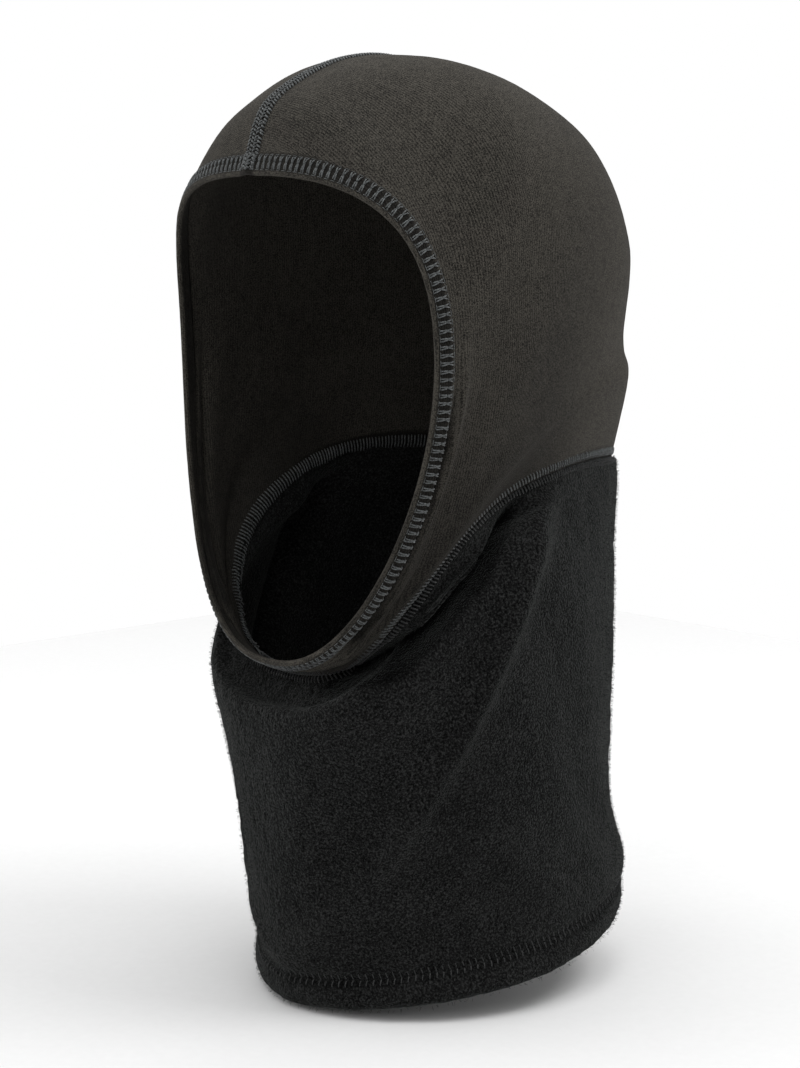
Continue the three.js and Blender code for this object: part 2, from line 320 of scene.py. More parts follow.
def crease_share(station, angle):
    """1 in the crease of the knit that runs beside the face hem on the lower cheek."""
    behind_edge = looked_up(FROM_FACE, station, angle)
    turn = np.degrees(np.abs(angle))
    cheek = ramp_between(turn, 20, 32) * (1 - ramp_between(turn, 62, 86))
    return cheek * hill(behind_edge, FACE_HEM + 2.3, 2.3)


def jaw_share(station, angle):
    """1 along the neck seam beside the jaw, where the seam pulls the cloth in."""
    below = looked_up(FROM_SEAM, station, angle)
    turn = np.degrees(np.abs(angle))
    return hill(below, 0, 17) * ramp_between(turn, 26, 46) * (1 - ramp_between(turn, 84, 112))


def folds(station, angle):
    """How far the cloth's folds stand out square to it, in millimetres."""
    below = looked_up(FROM_SEAM, station, angle)
    behind_edge = looked_up(FROM_FACE, station, angle)
    above_edge = looked_up(FROM_BOTTOM, station, angle)
    turn = np.degrees(np.abs(angle))
    ridge = hill(turn, 102 - 0.2 * below - 0.0052 * below**2, RIDGE_WIDTH)
    ridge = RIDGE_HEIGHT * ridge * ramp_between(below, 1, 16) * (1 - 0.8 * ramp_between(below, 34, 110))
    hem = 1.7 * hill(above_edge, 5, 6) - 1.3 * hill(above_edge, HEM_STITCH, 2.4)
    cheek = ramp_between(turn, 20, 34) * (1 - ramp_between(turn, 66, 96))
    swell = cheek * hill(behind_edge, 17, 4.5)
    beside_hem = CREASE_DEPTH * swell - CREASE_DEPTH * crease_share(station, angle)
    band = HEM_BAND * ramp_between(FACE_HEM + 0.4 - behind_edge, 0, 1.0)
    crown = hill(np.sin(angle) * HEAD_HALF, 0, 3.4) * (np.cos(angle) < 0)
    crown = crown * (0.4 + 0.8 * ramp_between(FACE_HEM + 1.5 - behind_edge, 0, 3))
    return np.where(below > 0, ridge + hem, beside_hem + band + crown)


def drawn_in(station, angle):
    """How far the cloth is drawn toward the neck's middle, in millimetres."""
    return POCKET_DEPTH * tuck_share(station, angle) + JAW_DEPTH * jaw_share(station, angle)


# ---- the outside as it lies, on a fine grid: the hoops' surface, the settled fleece and the folds
GRID_ROWS = 1201
GRID_COLUMNS = 720
NECK_MIDDLE_Y = 25.0


def lying_surface():
    """Points and outward normals of the outside."""
    stations = np.linspace(FACE, BOTTOM, GRID_ROWS)
    angles = np.linspace(-math.pi, math.pi, GRID_COLUMNS, endpoint=False)
    station, angle = grid_of(stations, angles)
    row = (station - NECK_SEAM) / (BOTTOM - NECK_SEAM) * (SIM_ROWS - 1)
    drift = spline_sample(NECK_DRIFT, row, column_of(angle, SIM_COLUMNS))
    settled = drift * np.clip(row / 2, 0, 1)[..., None]
    outward = hoop_normals(station, angle)
    points = hoop_surface(station, angle) + settled + outward * folds(station, angle)[..., None]
    inward = np.array([0, NECK_MIDDLE_Y, 0]) - points
    inward[..., 2] = 0
    inward /= np.linalg.norm(inward, axis=-1, keepdims=True)
    points += inward * drawn_in(station, angle)[..., None]
    down = np.gradient(points, axis=0)
    round_hoop = np.roll(points, -1, axis=1) - np.roll(points, 1, axis=1)
    normals = np.cross(down, round_hoop)
    normals /= np.maximum(np.linalg.norm(normals, axis=-1, keepdims=True), 1e-9)
    return np.concatenate([points, normals], axis=-1)


SURFACE = lying_surface()


def sample_surface(station, angle):
    """Points and normals at any stations and angles."""
    row = np.asarray(station) / BOTTOM * (GRID_ROWS - 1)
    values = spline_sample(SURFACE, row, column_of(angle, GRID_COLUMNS))
    normals = values[..., 3:]
    return values[..., :3], normals / np.linalg.norm(normals, axis=-1, keepdims=True)


def cloth_surface(station, angle):
    return sample_surface(station, angle)[0]


def millimetre():
    """One millimetre in the frame's metres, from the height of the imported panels."""
    station, angle = grid_of(np.linspace(FACE, BOTTOM, 400), np.linspace(-math.pi, math.pi, 200))
    own = hoop_surface(station, angle)[..., 2]
    panels = [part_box(node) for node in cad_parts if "_panel_" in node]
    packed = max(high.z for _, high in panels) - min(low.z for low, _ in panels)
    return packed / (own.max() - own.min())


MM = millimetre()


def cloth_point(station, angle, depth):
    """Points at a depth under the outside. A negative depth stands off it."""
    points, normals = sample_surface(station, angle)
    return points - normals * np.asarray(depth, float)[..., None]


# ---- coordinates along and across a seam that runs round the garment
class RoundSeam:
    """Places given by distance along a hoop, from the back over the wearer's right, and across it."""

    STEP = 0.5

    def __init__(self, station, before, after):
        """Reaches across the hoop from before, toward the face, to after."""
        self.angles = np.linspace(-math.pi, math.pi, 1081)
        line = cloth_surface(np.full(self.angles.shape, float(station)), self.angles)
        self.along = travelled_along(line)
        self.length = self.along[-1]
        tangent = np.gradient(line, axis=0)
        tangent /= np.linalg.norm(tangent, axis=1, keepdims=True)
        toward_face = self.walk(station, tangent, before, -1)
        away = self.walk(station, tangent, after, 1)
        self.first = -self.STEP * (len(toward_face) - 1)
        self.places = np.stack(toward_face[::-1] + away[1:])

    def walk(self, station, tangent, reach, way):
        """Station and angle at each step out from the hoop, square to it."""
        place = np.stack([np.full(self.angles.shape, float(station)), self.angles], -1)
        places = [place]
        for _ in range(int(round(reach / self.STEP))):
            here = place[:, 0] + way * SLOPE
            angle = place[:, 1]
            down = cloth_surface(here + SLOPE, angle) - cloth_surface(here - SLOPE, angle)
            turn = cloth_surface(here, angle + SLOPE) - cloth_surface(here, angle - SLOPE)
            across = down - (down * tangent).sum(1, keepdims=True) * tangent
            across *= way * self.STEP / np.linalg.norm(across, axis=1, keepdims=True)
            dd, dt, tt = (down * down).sum(1), (down * turn).sum(1), (turn * turn).sum(1)
            da, ta = (down * across).sum(1), (turn * across).sum(1)
            move = np.stack([tt * da - dt * ta, dd * ta - dt * da], -1) / (dd * tt - dt * dt)[:, None]
            place = place + move * 2 * SLOPE
            places.append(place)
        return places

    def point(self, along, across, depth):
        along = np.asarray(along, float) % self.length
        column = np.interp(along, self.along, np.arange(len(self.angles)))
        row = (np.asarray(across, float) - self.first) / self.STEP
        c0 = np.clip(np.floor(column).astype(int), 0, len(self.angles) - 2)
        r0 = np.clip(np.floor(row).astype(int), 0, len(self.places) - 2)
        tc, tr = (column - c0)[..., None], (row - r0)[..., None]
        near = self.places[r0, c0] * (1 - tc) + self.places[r0, c0 + 1] * tc
        far = self.places[r0 + 1, c0] * (1 - tc) + self.places[r0 + 1, c0 + 1] * tc
        place = near * (1 - tr) + far * tr
        return cloth_point(place[..., 0], place[..., 1], depth)


class CentreSeam:
    """Places given by distance along the centre plane and distance to the wearer's left of it."""

    ROWS = 900
    ASIDE = 0.02  # radians, for the radius of the cloth

    def __init__(self, angle, start, end):
        self.angle = angle
        self.stations = np.linspace(start, end, self.ROWS)
        line = cloth_surface(self.stations, np.full(self.ROWS, angle))
        self.along = travelled_along(line)
        self.length = self.along[-1]
        aside = cloth_surface(self.stations, np.full(self.ROWS, angle - self.ASIDE))
        self.radius = np.linalg.norm(aside - line, axis=1) / self.ASIDE

    def point(self, along, across, depth):
        along = np.clip(along, 0, self.length)
        station = np.interp(along, self.along, self.stations)
        turn = across / np.interp(along, self.along, self.radius)
        direction = -1 if self.angle == BACK else 1
        return cloth_point(station, self.angle + direction * turn, depth)


face_line = RoundSeam(FACE, 0, 12)
neck_line = RoundSeam(NECK_SEAM, 6, 6)
bottom_line = RoundSeam(BOTTOM, 20, 0)


# ---- small helpers
def lumps(points, size, seed):
    """Smooth random bumps from -1 to 1 with features of a size, at points in millimetres."""
    cell = points / size
    base = np.floor(cell).astype(np.int64)
    t = cell - base
    t = t * t * (3 - 2 * t)
    total = 0
    for corner in np.ndindex(2, 2, 2):
        at = base + np.array(corner)
        key = at[..., 0] * 73856093 ^ at[..., 1] * 19349663 ^ at[..., 2] * 83492791 ^ seed * 2654435761
        key = (key ^ (key >> 13)) * 1274126177 & 0x7FFFFFFF
        value = ((key ^ (key >> 16)) % 65536) / 32767.5 - 1
        weight = np.prod(np.where(np.array(corner) == 1, t, 1 - t), axis=-1)
        total = total + weight * value
    return total


def new_object(name, points, faces, material, uvs=None, shade=None):
    """A smooth-shaded mesh object from points in millimetres."""
    mesh = bpy.data.meshes.new(name)
    points = np.asarray(points, float).reshape(-1, 3) * MM
    faces = np.asarray(faces, np.int32)
    mesh.vertices.add(len(points))
    mesh.vertices.foreach_set("co", points.astype(np.float32).ravel())
    mesh.loops.add(faces.size)
    mesh.loops.foreach_set("vertex_index", faces.ravel())
    mesh.polygons.add(len(faces))
    mesh.polygons.foreach_set("loop_start", np.arange(len(faces), dtype=np.int32) * faces.shape[1])
    mesh.update(calc_edges=True)
    mesh.validate()
    mesh.polygons.foreach_set("use_smooth", np.ones(len(mesh.polygons), bool))
    if uvs is not None:
        layer = mesh.uv_layers.new(name="cloth")
        layer.data.foreach_set("uv", np.asarray(uvs, np.float32).reshape(-1, 2)[faces.ravel()].ravel())
    # the painted shade, kept as a point attribute that the materials read
    if shade is not None:
        attribute = mesh.attributes.new("shade", "FLOAT", "POINT")
        attribute.data.foreach_set("value", np.asarray(shade, np.float32).ravel())
    mesh.materials.append(material)
    piece = bpy.data.objects.new(name, mesh)
    bpy.context.scene.collection.objects.link(piece)
    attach(piece, "root")
    return piece


def closed_sheet(name, outside, inside, material, uvs=None, shade=None, flip=False):
    """A closed thin body between two equal grids of points."""
    rows, columns = outside.shape[:2]
    index = np.arange(rows * columns).reshape(rows, columns)
    under = index + rows * columns
    quads = [
        np.stack([index[:-1, :-1], index[1:, :-1], index[1:, 1:], index[:-1, 1:]], -1).reshape(-1, 4),
        np.stack([under[:-1, :-1], under[:-1, 1:], under[1:, 1:], under[1:, :-1]], -1).reshape(-1, 4),
        np.stack([index[0, :-1], index[0, 1:], under[0, 1:], under[0, :-1]], -1),
        np.stack([index[-1, :-1], under[-1, :-1], under[-1, 1:], index[-1, 1:]], -1),
        np.stack([index[:-1, 0], under[:-1, 0], under[1:, 0], index[1:, 0]], -1),
        np.stack([index[:-1, -1], index[1:, -1], under[1:, -1], under[:-1, -1]], -1),
    ]
    faces = np.concatenate(quads)
    if flip:
        faces = faces[:, ::-1]
    points = np.concatenate([outside.reshape(-1, 3), inside.reshape(-1, 3)])
    if uvs is not None:
        uvs = np.concatenate([uvs.reshape(-1, 2), uvs.reshape(-1, 2)])
    # the same painted shade on both faces of the sheet
    if shade is not None:
        shade = np.concatenate([shade.ravel(), shade.ravel()])
    return new_object(name, points, faces, material, uvs, shade)


def threads(name, runs, radius, material, shade=None):
    """One mesh of many short threads. runs is an array of threads, points and coordinates."""
    runs = np.asarray(runs, float)
    count, steps = runs.shape[:2]
    tangent = np.gradient(runs, axis=1)
    tangent /= np.maximum(np.linalg.norm(tangent, axis=2, keepdims=True), 1e-9)
    helper = np.where(np.abs(tangent[..., 2:3]) < 0.8, [0.0, 0.0, 1.0], [1.0, 0.0, 0.0])
    side = np.cross(tangent, helper)
    side /= np.linalg.norm(side, axis=2, keepdims=True)
    other = np.cross(tangent, side)
    around = np.linspace(0, 2 * math.pi, THREAD_SIDES, endpoint=False)
    place = np.linspace(-1, 1, steps)
    taper = np.sqrt(np.clip(1 - 0.75 * place**8, 0.1, 1))
    ring = (
        side[:, :, None, :] * np.cos(around)[None, None, :, None]
        + other[:, :, None, :] * np.sin(around)[None, None, :, None]
    )
    points = runs[:, :, None, :] + ring * (radius * taper)[None, :, None, None]
    index = np.arange(count * steps * THREAD_SIDES).reshape(count, steps, THREAD_SIDES)
    here, there = index[:, :-1], index[:, 1:]
    faces = np.stack(
        [here, np.roll(here, -1, axis=2), np.roll(there, -1, axis=2), there], axis=-1
    ).reshape(-1, 4)
    lengthwise = np.broadcast_to(np.linspace(0, 1, steps)[None, :, None], index.shape)
    uvs = np.stack([np.broadcast_to(around / (2 * math.pi), index.shape), lengthwise], -1)
    # painted shade, one value for each thread
    if shade is not None:
        shade = np.repeat(shade, steps * THREAD_SIDES)
    return new_object(name, points, faces, material, uvs, shade)


def stitch_runs(seam, starts, ends, lift, depth=0.0):
    """Threads from starts to ends, each given as along and across, that arch over the cloth."""
    starts, ends = np.asarray(starts, float), np.asarray(ends, float)
    t = np.linspace(0, 1, STITCH_POINTS)
    flat = starts[:, None, :] + (ends - starts)[:, None, :] * t[None, :, None]
    arch = lift * (np.sin(math.pi * t) ** 0.6) - 0.35 * lift
    return seam.point(flat[..., 0], flat[..., 1], depth - arch)


# ---- materials
class Nodes:
    """A material's node tree, with short ways to add and join nodes."""

    def __init__(self, name):
        self.material = bpy.data.materials.new(name)
        self.material.use_nodes = True
        self.tree = self.material.node_tree
        self.shader = self.tree.nodes["Principled BSDF"]

    def add(self, kind, **values):
        node = self.tree.nodes.new(kind)
        for key, value in values.items():
            setattr(node, key, value)
        return node

    def position(self):
        return self.add("ShaderNodeNewGeometry").outputs["Position"]

    def split(self, vector):
        """The X, Y and Z of a vector."""
        node = self.add("ShaderNodeSeparateXYZ")
        self.tree.links.new(vector, node.inputs["Vector"])
        return node.outputs

    def cloth_axes(self):
        """X across and Y along the piece, from its own coordinates."""
        return self.split(self.add("ShaderNodeUVMap", uv_map="cloth").outputs["UV"])

    def noise(self, coordinates, scale, detail=2.0, roughness=0.5):
        node = self.add("ShaderNodeTexNoise")
        node.inputs["Scale"].default_value = scale
        node.inputs["Detail"].default_value = detail
        node.inputs["Roughness"].default_value = roughness
        self.tree.links.new(coordinates, node.inputs["Vector"])
        return node.outputs["Fac"]

    def ramp(self, factor, stops):
        node = self.add("ShaderNodeValToRGB")
        elements = node.color_ramp.elements
        while len(elements) < len(stops):
            elements.new(0.5)
        for element, (position, colour) in zip(elements, stops):
            element.position = position
            element.color = (*colour, 1)
        self.tree.links.new(factor, node.inputs["Fac"])
        return node.outputs["Color"]

    def math(self, operation, *values):
        node = self.add("ShaderNodeMath", operation=operation)
        for socket, value in zip(node.inputs, values):
            if isinstance(value, (int, float)):
                socket.default_value = value
            else:
                self.tree.links.new(value, socket)
        return node.outputs[0]

    def bump(self, height, strength, distance, before=None):
        node = self.add("ShaderNodeBump")
        node.inputs["Strength"].default_value = strength
        node.inputs["Distance"].default_value = distance
        self.tree.links.new(height, node.inputs["Height"])
        if before is not None:
            self.tree.links.new(before, node.inputs["Normal"])
        return node.outputs["Normal"]

    def painted_shade_darkened(self, colour, keep):
        """Painted shade: the colour, down to the share keep where the cloth's painted shade is 1."""
        shade = self.add("ShaderNodeAttribute", attribute_name="shade")
        mix = self.add("ShaderNodeMix", data_type="RGBA", blend_type="MULTIPLY")
        self.tree.links.new(shade.outputs["Fac"], mix.inputs[0])
        self.tree.links.new(colour, mix.inputs[6])
        mix.inputs[7].default_value = (keep, keep, keep, 1)
        return mix.outputs[2]

    def finish(self, colour, normal, roughness):
        self.tree.links.new(colour, self.shader.inputs["Base Color"])
        self.tree.links.new(normal, self.shader.inputs["Normal"])
        self.shader.inputs["Roughness"].default_value = roughness

    def gloss(self, shine, sheen, sheen_roughness, sheen_tint=None):
        """The shine, and the soft light that loose fibres throw."""
        inputs = self.shader.inputs
        inputs["Specular IOR Level"].default_value = shine
        inputs["Sheen Weight"].default_value = sheen
        inputs["Sheen Roughness"].default_value = sheen_roughness
        if sheen_tint is not None:
            inputs["Sheen Tint"].default_value = (*sheen_tint, 1)


def grey(value, tint=(1.0, 1.0, 1.0)):
    """A grey, tinted a little."""
    return tuple(value * t for t in tint)


KNIT_TINT = (1.09, 1.0, 0.84)
FLEECE_TINT = (0.99, 1.01, 1.0)
THREAD_TINT = (0.92, 1.01, 1.02)


def knit_material():
    """Stretch knit: fine ribs across the head, heathered yarn and a soft sheen."""
    nodes = Nodes("knit")
    place = nodes.position()
    axes = nodes.cloth_axes()
    yarn = nodes.noise(place, 2000, 2.0, 0.65)
    heather = nodes.noise(place, 240, 2.0, 0.6)
    patch = nodes.noise(place, 22, 2.0, 0.5)
    wobble = nodes.math("MULTIPLY", yarn, 1.6)
    turns = nodes.math("MULTIPLY", axes["X"], 2 * math.pi)
    rib = nodes.math("SINE", nodes.math("ADD", turns, wobble))
    rib = nodes.math("MULTIPLY_ADD", rib, 0.5, 0.5)
    grain = nodes.math("MULTIPLY", yarn, 1.45)
    mixed = nodes.math("ADD", grain, nodes.math("MULTIPLY", heather, 0.2))
    mixed = nodes.math("ADD", mixed, nodes.math("MULTIPLY", patch, 0.15))
    mixed = nodes.math("ADD", mixed, nodes.math("MULTIPLY", rib, 0.14))
    colour = nodes.ramp(
        nodes.math("MULTIPLY", mixed, 0.5),
        [
            (0.35, grey(0.003, KNIT_TINT)),
            (0.45, grey(0.02, KNIT_TINT)),
            (0.55, grey(0.061, KNIT_TINT)),
        ],
    )
    height = nodes.math("ADD", nodes.math("MULTIPLY", rib, 0.4), yarn)
    normal = nodes.bump(height, 0.6, 0.0005)
    # the knit's colour takes the painted shade
    nodes.finish(nodes.painted_shade_darkened(colour, KNIT_KEEPS_IN_PAINTED_SHADE), normal, 0.92)
    nodes.gloss(0.15, 0.06, 0.45, (0.75, 0.7, 0.64))
    return nodes.material


def fleece_material(name, low, high):
    """Micro-fleece: a pebbly pile whose tone differs at random, with painted shade in the hollows between
    the tufts.
    """
    nodes = Nodes(name)
    place = nodes.position()
    fibre = nodes.noise(place, 2600, 2.0, 0.6)
    tuft = nodes.noise(place, 1150, 2.0, 0.55)
    patch = nodes.noise(place, 40, 2.0, 0.5)
    mixed = nodes.math("ADD", nodes.math("MULTIPLY", fibre, 0.5), tuft)
    mixed = nodes.math("ADD", mixed, nodes.math("MULTIPLY", patch, 0.15))
    # the tuft noise that raises the bump also sets the colour: painted shade in the hollows between the
    # tufts
    colour = nodes.ramp(
        nodes.math("MULTIPLY", mixed, 0.6),
        [
            (0.40, grey(low, FLEECE_TINT)),
            (0.5, grey(low + 0.27 * (high - low), FLEECE_TINT)),
            (0.61, grey(high, FLEECE_TINT)),
        ],
    )
    coarse = nodes.bump(tuft, 1.0, 0.0012)
    normal = nodes.bump(fibre, 0.5, 0.0004, before=coarse)
    # the fleece's colour takes the painted shade
    nodes.finish(nodes.painted_shade_darkened(colour, FLEECE_KEEPS_IN_PAINTED_SHADE), normal, 0.97)
    nodes.gloss(0.05, 0.14, 0.35, (0.6, 0.64, 0.62))
    return nodes.material


def thread_material(name, low, high):
    """Textured sewing thread: twisted plies along each stitch and a slight shine."""
    nodes = Nodes(name)
    place = nodes.position()
    axes = nodes.cloth_axes()
    twist = nodes.math("ADD", axes["X"], nodes.math("MULTIPLY", axes["Y"], 5))
    ply = nodes.math("SINE", nodes.math("MULTIPLY", twist, 4 * math.pi))
    fuzz = nodes.noise(place, 1700, 2.0, 0.6)
    tone = nodes.math("ADD", nodes.math("MULTIPLY", ply, 0.12), fuzz)
    colour = nodes.ramp(tone, [(0.34, grey(low, THREAD_TINT)), (0.66, grey(high, THREAD_TINT))])
    normal = nodes.bump(nodes.math("ADD", ply, fuzz), 0.5, 0.00012)
    # the thread's colour takes the painted shade
    nodes.finish(nodes.painted_shade_darkened(colour, THREAD_KEEPS_IN_PAINTED_SHADE), normal, 0.62)
    nodes.gloss(0.45, 0.3, 0.4)
    return nodes.material


def label_material():
    """Plain woven satin tape."""
    nodes = Nodes("label")
    place = nodes.position()
    axes = nodes.split(place)
    weft = nodes.math("SINE", nodes.math("MULTIPLY", axes["Z"], 2 * math.pi / 0.0005))
    warp = nodes.math("SINE", nodes.math("MULTIPLY", axes["X"], 2 * math.pi / 0.0004))
    weave = nodes.math("MULTIPLY", weft, warp)
    mottle = nodes.noise(place, 400, 2.0)
    colour = nodes.ramp(mottle, [(0.3, grey(0.26)), (0.7, grey(0.36))])
    nodes.finish(colour, nodes.bump(weave, 0.3, 0.0001), 0.55)
    return nodes.material


knit = knit_material()
fleece = fleece_material("fleece", 0.0015, 0.035)
hood_thread = thread_material("hood_thread", 0.008, 0.16)
neck_thread = thread_material("neck_thread", 0.004, 0.028)
label = label_material()

# ---- panels: each runs from the neck seam to its open edge, folds over and lies back inside
RIB_PITCH = 0.95
HALF_COLUMNS = 240
FOLD_ROWS = 10
HOOD_ROWS = (150, 12, 8)  # rows along the panel, out to the fold of its hem and back inside it
NECK_ROWS = (100, 18, 14)
SIDES = (("left", 1), ("right", -1))


def fold_profile(thickness, width, rows_out, rows_in, layer):
    """Distances from the edge and depths of one layer of a turned hem, from the cloth to the raw edge."""
    radius = thickness + FOLD_GAP / 2
    inner_radius = radius if layer == 0 else FOLD_GAP / 2
    theta = np.linspace(0, math.pi, FOLD_ROWS)
    out = np.linspace(width, radius, rows_out, endpoint=False)
    back = np.linspace(radius, width, rows_in + 1)[1:]
    distance = np.concatenate([out, radius - inner_radius * np.sin(theta), back])
    near = 0.0 if layer == 0 else thickness
    far = 2 * thickness + FOLD_GAP if layer == 0 else thickness + FOLD_GAP
    turned = radius - inner_radius * np.cos(theta)
    depth = np.concatenate([np.full(rows_out, near), turned, np.full(rows_in, far)])
    return distance, depth


def stations_along(start, angle, distances):
    """Stations at distances along the cloth from one station, for one angle."""
    fine = np.linspace(FACE, BOTTOM, GRID_ROWS)
    travelled = travelled_along(hoop_surface(fine, np.full(fine.size, angle)))
    begin = np.interp(start, fine, travelled)
    return np.interp(begin + distances, travelled, fine)


def rib_numbers(points):
    """Which rib of the knit each point lies on. Ribs run across the head, evenly spaced over the crown."""
    stations = np.linspace(FACE, NECK_SEAM - 1, 600)
    crown = hoop_surface(stations, np.full(stations.size, BACK))
    y = points[..., 1]
    over_crown = np.interp(y, crown[:, 1], travelled_along(crown)) + crown[0, 1]
    aside = np.clip(np.abs(points[..., 0]) / HEAD_HALF, 0, 1) ** 2
    return (y * aside + over_crown * (1 - aside)) / RIB_PITCH


def half_panel(name, side, material, columns_of, relief):
    """A panel for one side. columns_of(angle, layer) gives stations and depths down the panel."""
    even = np.linspace(0, 1, HALF_COLUMNS)
    angles = math.pi * (even - 0.55 * np.sin(2 * math.pi * even) / (2 * math.pi))
    grids = []
    for layer in (0, 1):
        profiles = [columns_of(angle, layer) for angle in angles]
        station = np.stack([p[0] for p in profiles], axis=1)
        depth = np.stack([p[1] for p in profiles], axis=1)
        angle = np.broadcast_to(side * angles, station.shape)
        points = cloth_point(station, angle, depth)
        points = relief(points, station, angle, layer)
        points[..., 0] = side * np.maximum(side * points[..., 0], 0)
        points[:, [0, -1], 0] = 0
        grids.append(points)
    outside = grids[0]
    down = np.linalg.norm(np.diff(outside, axis=0), axis=2)
    down = np.concatenate([np.zeros((1, HALF_COLUMNS)), np.cumsum(down, axis=0)])
    uvs = np.stack([rib_numbers(outside), down], axis=-1)
    # each point of the panel carries its painted shade
    return closed_sheet(name, outside, grids[1], material, uvs, painted_shade_of(station, angle), flip=side < 0)


def painted_shade_of(station, angle):
    """How much painted shade darkens the cloth, from 0 to 1: under and between the stitches of the seams
    and hems, deep in the pocket under the jaw, in the crease beside the face hem and over the lower cheek.
    """
    behind_edge = looked_up(FROM_FACE, station, angle)
    below = looked_up(FROM_SEAM, station, angle)
    above_edge = looked_up(FROM_BOTTOM, station, angle)
    off_centre = np.abs(np.sin(angle)) * HEAD_HALF
    # painted shade under and between the face hem's stitches
    face = ramp_between(behind_edge, FACE_LIP - 0.9, FACE_LIP)
    face = face * (1 - ramp_between(behind_edge, FACE_HEM, FACE_HEM + 1.0))
    # painted shade along the crown seam, between its threads
    crown = (1 - ramp_between(off_centre, 3.6, 4.8)) * (np.cos(angle) < 0) * (below < 0)
    # painted shade along the neck seam, half as deep on the fleece side
    seam = 1 - ramp_between(np.abs(below), 3.6, 5.0)
    # painted shade in the dents of the bottom hem's stitches
    hem = 0.45 * hill(above_edge, HEM_STITCH - 2.4, 0.9) + 0.25 * hill(above_edge, HEM_STITCH, 2.4)
    # painted shadow deep in the pocket under the jaw, faint on the wearer's right
    tuck = ramp_between(tuck_share(station, angle), 0.02, 0.25)
    tuck = tuck * np.where(np.asarray(angle) > 0, 1.0, OTHER_SIDE)
    turn = np.degrees(np.abs(angle))
    # painted shade over the lower cheek and in the crease beside the face hem
    cheek = hill(below, 0, 70) * ramp_between(turn, 16, 40) * (1 - ramp_between(turn, 88, 125))
    knit_fold = 0.9 * crease_share(station, angle) + 0.85 * cheek
    folded = np.where(below > 0, tuck, np.maximum(knit_fold, tuck))
    seam = seam * np.where(below > 0, 0.5, 1.0)
    return np.clip(np.maximum.reduce([face, crown, seam, hem, folded]), 0, 1)


def panel_columns(angle, layer, thickness, edge, width, rows):
    """Stations and depths down a panel and round the turned hem at its open edge."""
    rows_down, rows_out, rows_in = rows
    distance, depth = fold_profile(thickness, width, rows_out, rows_in, layer)
    hem = stations_along(edge, angle, distance if edge == FACE else -distance)
    body = np.linspace(NECK_SEAM, hem[0], rows_down, endpoint=False)
    near = 0.0 if layer == 0 else thickness
    return np.concatenate([body, hem]), np.concatenate([np.full(rows_down, near), depth])


def hood_columns(angle, layer):
    return panel_columns(angle, layer, KNIT, FACE, FACE_HEM, HOOD_ROWS)


def neck_columns(angle, layer):
    return panel_columns(angle, layer, FLEECE, BOTTOM, BOTTOM_HEM, NECK_ROWS)


def knit_relief(points, station, angle, _layer):
    """Slight unevenness of stretched knit."""
    amount = 0.18 * lumps(points, 14, 3) + 0.05 * lumps(points, 2.5, 4)
    return points + sample_surface(station, angle)[1] * amount[..., None]


def fleece_relief(points, station, angle, layer):
    """Pile that stands in small lumps."""
    amount = 0.25 * lumps(points, 7, 5) + 0.22 * lumps(points, 2.2, 6) + 0.3 * lumps(points, 1.3, 7)
    sign = -1 if layer else 1
    return points + sample_surface(station, angle)[1] * (sign * amount)[..., None]


for side_name, side in SIDES:
    hood = half_panel(f"hood_{side_name}", side, knit, hood_columns, knit_relief)
    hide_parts(f"hood_panel_{side_name}", f"face_hem_facing_{side_name}")
    neck = half_panel(f"neck_{side_name}", side, fleece, neck_columns, fleece_relief)
    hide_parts(f"neck_panel_{side_name}", f"bottom_hem_turn_up_{side_name}")

# ---- pile: short fibres that stand off the fleece and blur its outline
FIBRES = 26000
FIBRE_LENGTH = (0.7, 1.9)
FIBRE_WIDTH = 0.11


def pile(name, side, seed):
    """Curved fibres, each two narrow faces and a tip, over the outside of one neck panel."""
    chance = np.random.default_rng(seed)
    station = chance.uniform(NECK_SEAM + 0.12, BOTTOM, 4 * FIBRES)
    angle = side * chance.uniform(0.004, math.pi - 0.004, 4 * FIBRES)
    spread = looked_up(FROM_SEAM, station + 0.01, angle) - looked_up(FROM_SEAM, station - 0.01, angle)
    kept = chance.uniform(0, 1, spread.size) < spread / np.quantile(spread, 0.995)
    station, angle = station[kept][:FIBRES], angle[kept][:FIBRES]
    root, out = sample_surface(station, angle)
    count = len(root)
    random_way = chance.normal(size=(count, 3))
    lean = random_way - (random_way * out).sum(1, keepdims=True) * out
    lean /= np.linalg.norm(lean, axis=1, keepdims=True)
    tall = chance.uniform(*FIBRE_LENGTH, size=(count, 1))
    aside = np.cross(out, lean) * FIBRE_WIDTH / 2
    root = root + out * 0.05
    middle = root + (out * 0.55 + lean * 0.25) * tall
    tip = root + (out * 0.75 + lean * 0.85) * tall
    ring = [root - aside, root + aside, middle + aside, middle - aside, tip, tip + aside * 0.1]
    corners = np.stack(ring, axis=1)
    first = np.arange(count)[:, None] * 6
    stem = first + np.array([[0, 1, 2, 3]])
    end = first + np.array([[3, 2, 5, 4]])
    # the fibres take the painted shade of the cloth under them
    shade = np.repeat(painted_shade_of(station, angle), 6)
    return new_object(name, corners, np.concatenate([stem, end]), fleece, shade=shade)


for side_name, side in SIDES:
    fibres = pile(f"neck_pile_{side_name}", side, 11 + side)

# ---- face hem stitches
random = np.random.default_rng(7)
FACE_PITCH = 2.9
FACE_MIDDLE = (FACE_LIP + FACE_HEM) / 2


def jitter(count, amount):
    """Small random offsets, in millimetres."""
    return random.normal(0, amount, count)


def spaced_starts(seam, pitch):
    """Even places round a seam, as near to the pitch as a whole number of stitches allows."""
    count = int(round(seam.length / pitch))
    return np.arange(count) * (seam.length / count)


def pairs(along, across):
    """Places given by distances along and across a seam."""
    along = np.asarray(along, float)
    return np.stack([along, np.broadcast_to(across, along.shape)], -1)


